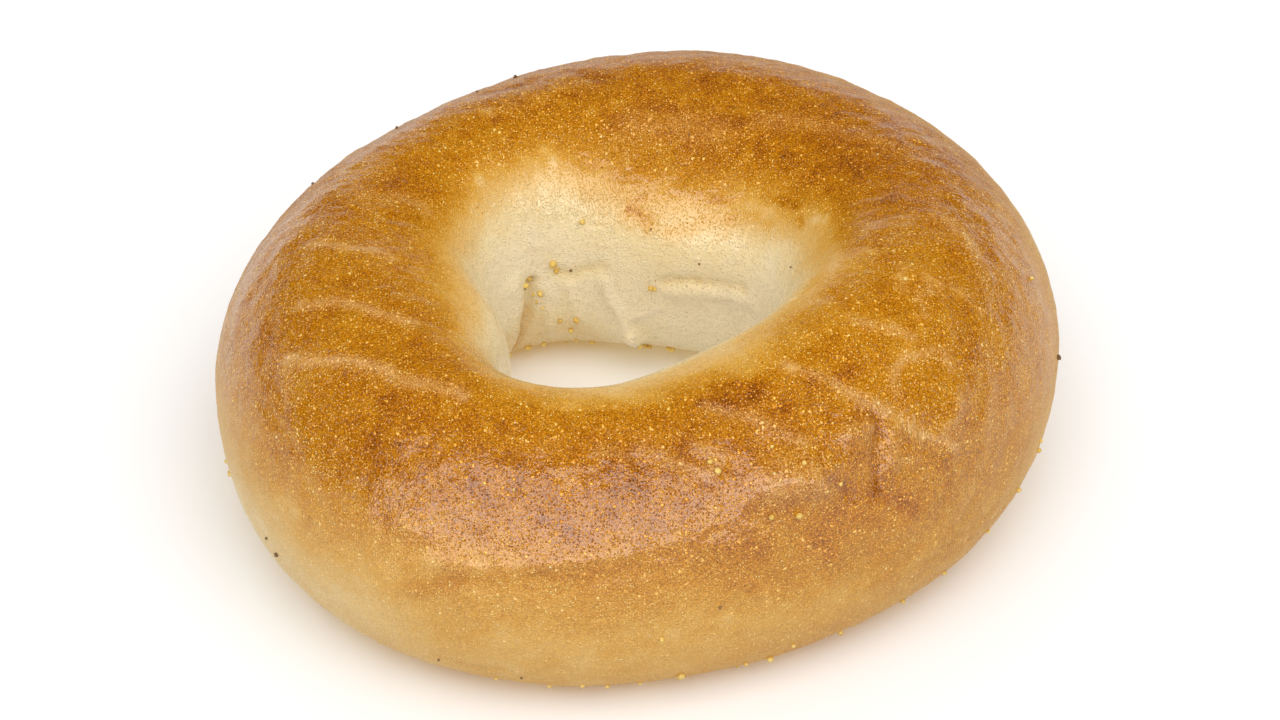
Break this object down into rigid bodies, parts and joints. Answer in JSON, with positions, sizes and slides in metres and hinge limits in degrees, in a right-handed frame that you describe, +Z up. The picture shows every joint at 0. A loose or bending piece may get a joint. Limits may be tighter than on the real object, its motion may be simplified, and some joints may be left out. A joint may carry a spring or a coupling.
{
  "type": "bagel",
  "caption": "Plain bagel: an uneven ring of baked dough with a glossy golden-brown top, a pale hole wall and a flat underside.",
  "frame": {"origin": "middle of the bagel's box, on the surface that its flat underside rests on", "axes": "+Z up through the hole, +X along the bagel's longest side, +Y across it; the seam where the ends of the dough were joined is near -Y on the +X side"},
  "size_m": [0.1106, 0.1068, 0.0422],
  "materials": {
    "crust": "baked crust: golden brown and glossy with fine blisters on top, pale cream and duller on the hole's wall and low sides",
    "cornmeal": "dry yellow cornmeal grains, matt"
  },
  "bodies": {
    "root": {"bagel": "crust"}
  },
  "joints": []
}
